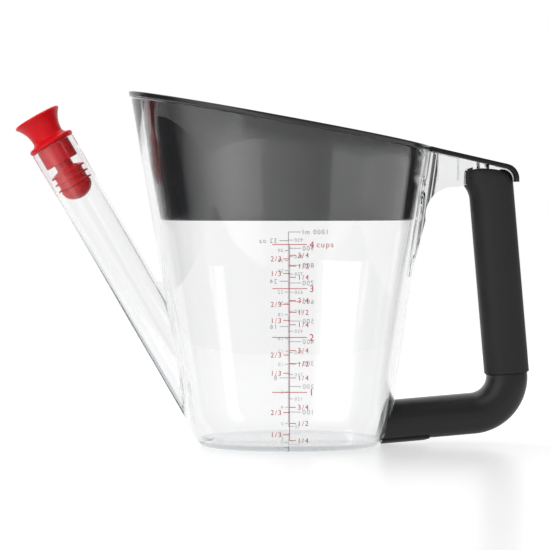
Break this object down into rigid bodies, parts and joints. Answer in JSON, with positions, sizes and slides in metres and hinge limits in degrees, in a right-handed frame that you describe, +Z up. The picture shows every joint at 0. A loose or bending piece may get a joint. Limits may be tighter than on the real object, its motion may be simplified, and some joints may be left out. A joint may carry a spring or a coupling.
{
  "type": "gravy fat separator",
  "caption": "Clear oval jug with a low-set pouring spout and stopper, a lift-out strainer with a thumb tab, and a soft-grip side handle.",
  "frame": {"origin": "centre of the cup's foot, on the surface it stands on", "axes": "+Z up; +X from the spout to the handle, the longest extent; +Y across the jug, and the XZ plane is the plane of symmetry"},
  "size_m": [0.2612, 0.1276, 0.1795],
  "materials": {
    "clear": "clear moulded plastic, polished",
    "handle": "rigid black plastic with a satin sheen",
    "grip": "soft black sleeve, matt",
    "screw": "plain stainless steel",
    "strainer": "black moulded plastic, smooth",
    "stopper": "bright red silicone"
  },
  "bodies": {
    "jug": {"cup": "clear", "spout_tube": "clear", "handle_frame": "handle", "grip_sleeve": "grip", "screw_cover": "handle", "lower_screw": "screw", "upper_screw": "screw"},
    "strainer_lid": {"strainer": "strainer"},
    "spout_stopper": {"stopper": "stopper"}
  },
  "joints": [
    {"name": "lid_lift", "type": "slide", "parent": "jug", "child": "strainer_lid", "axis": [0, 0, 1], "range_m": [0, 0.08]},
    {"name": "stopper_pull", "type": "slide", "parent": "jug", "child": "spout_stopper", "axis": [-0.5, 0, 0.866], "range_m": [0, 0.035]}
  ]
}
